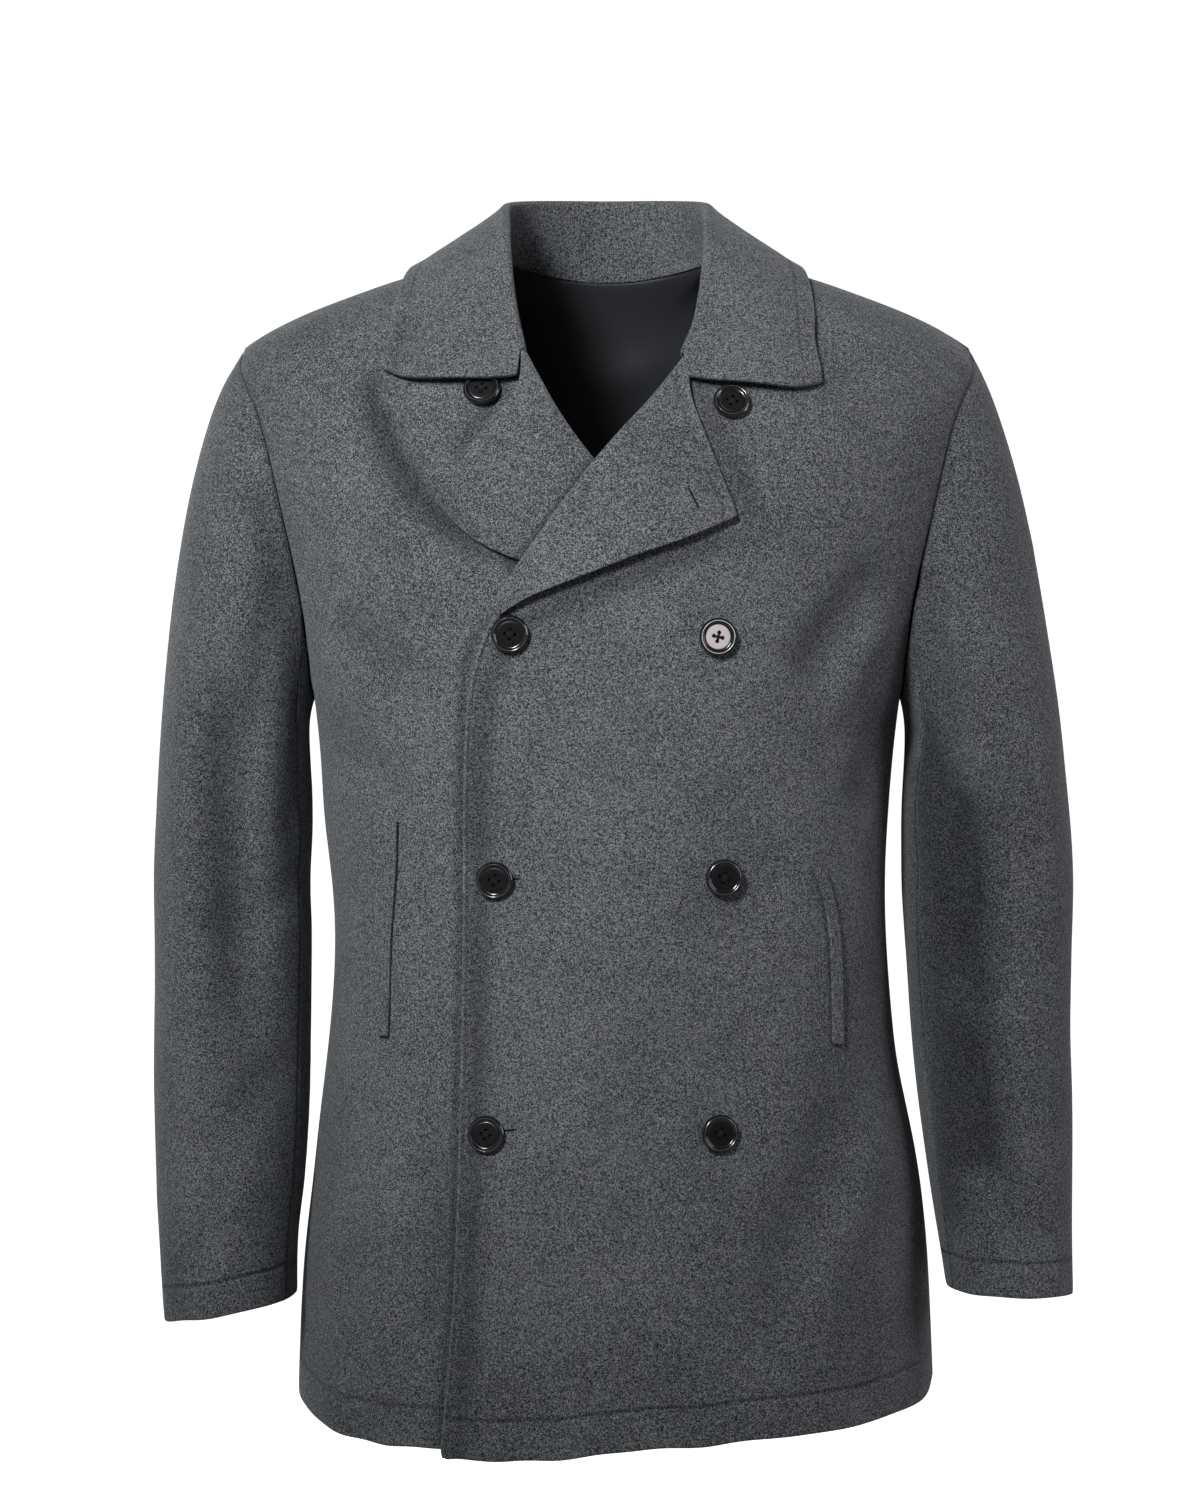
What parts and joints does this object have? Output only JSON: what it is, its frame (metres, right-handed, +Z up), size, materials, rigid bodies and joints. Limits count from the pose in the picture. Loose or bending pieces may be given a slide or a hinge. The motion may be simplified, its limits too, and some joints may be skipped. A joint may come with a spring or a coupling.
{
  "type": "pea coat",
  "caption": "Double-breasted pea coat of heavy grey wool, in its worn hollow form: closed front, notched lapels, broad fold-over collar and long two-piece sleeves.",
  "frame": {"origin": "between the high points of the shoulders, at the base of the wearer's neck", "axes": "+Z up along the body, +X to the wearer's left, +Y to the back"},
  "size_m": [0.6142, 0.2972, 0.823],
  "materials": {
    "wool": "heathered mid-grey felted wool, matt",
    "button": "black, polished"
  },
  "bodies": {
    "root": {"back": "wool", "front_left": "wool", "front_right": "wool", "lapel_left": "wool", "lapel_right": "wool", "collar": "wool", "sleeve_top_left": "wool", "sleeve_under_left": "wool", "sleeve_top_right": "wool", "sleeve_under_right": "wool", "pocket_welt_left": "wool", "pocket_welt_right": "wool", "button_top_left": "button", "button_top_right": "button", "button_upper_left": "button", "button_upper_right": "button", "button_middle_left": "button", "button_middle_right": "button", "button_lower_left": "button", "button_lower_right": "button"}
  },
  "joints": []
}
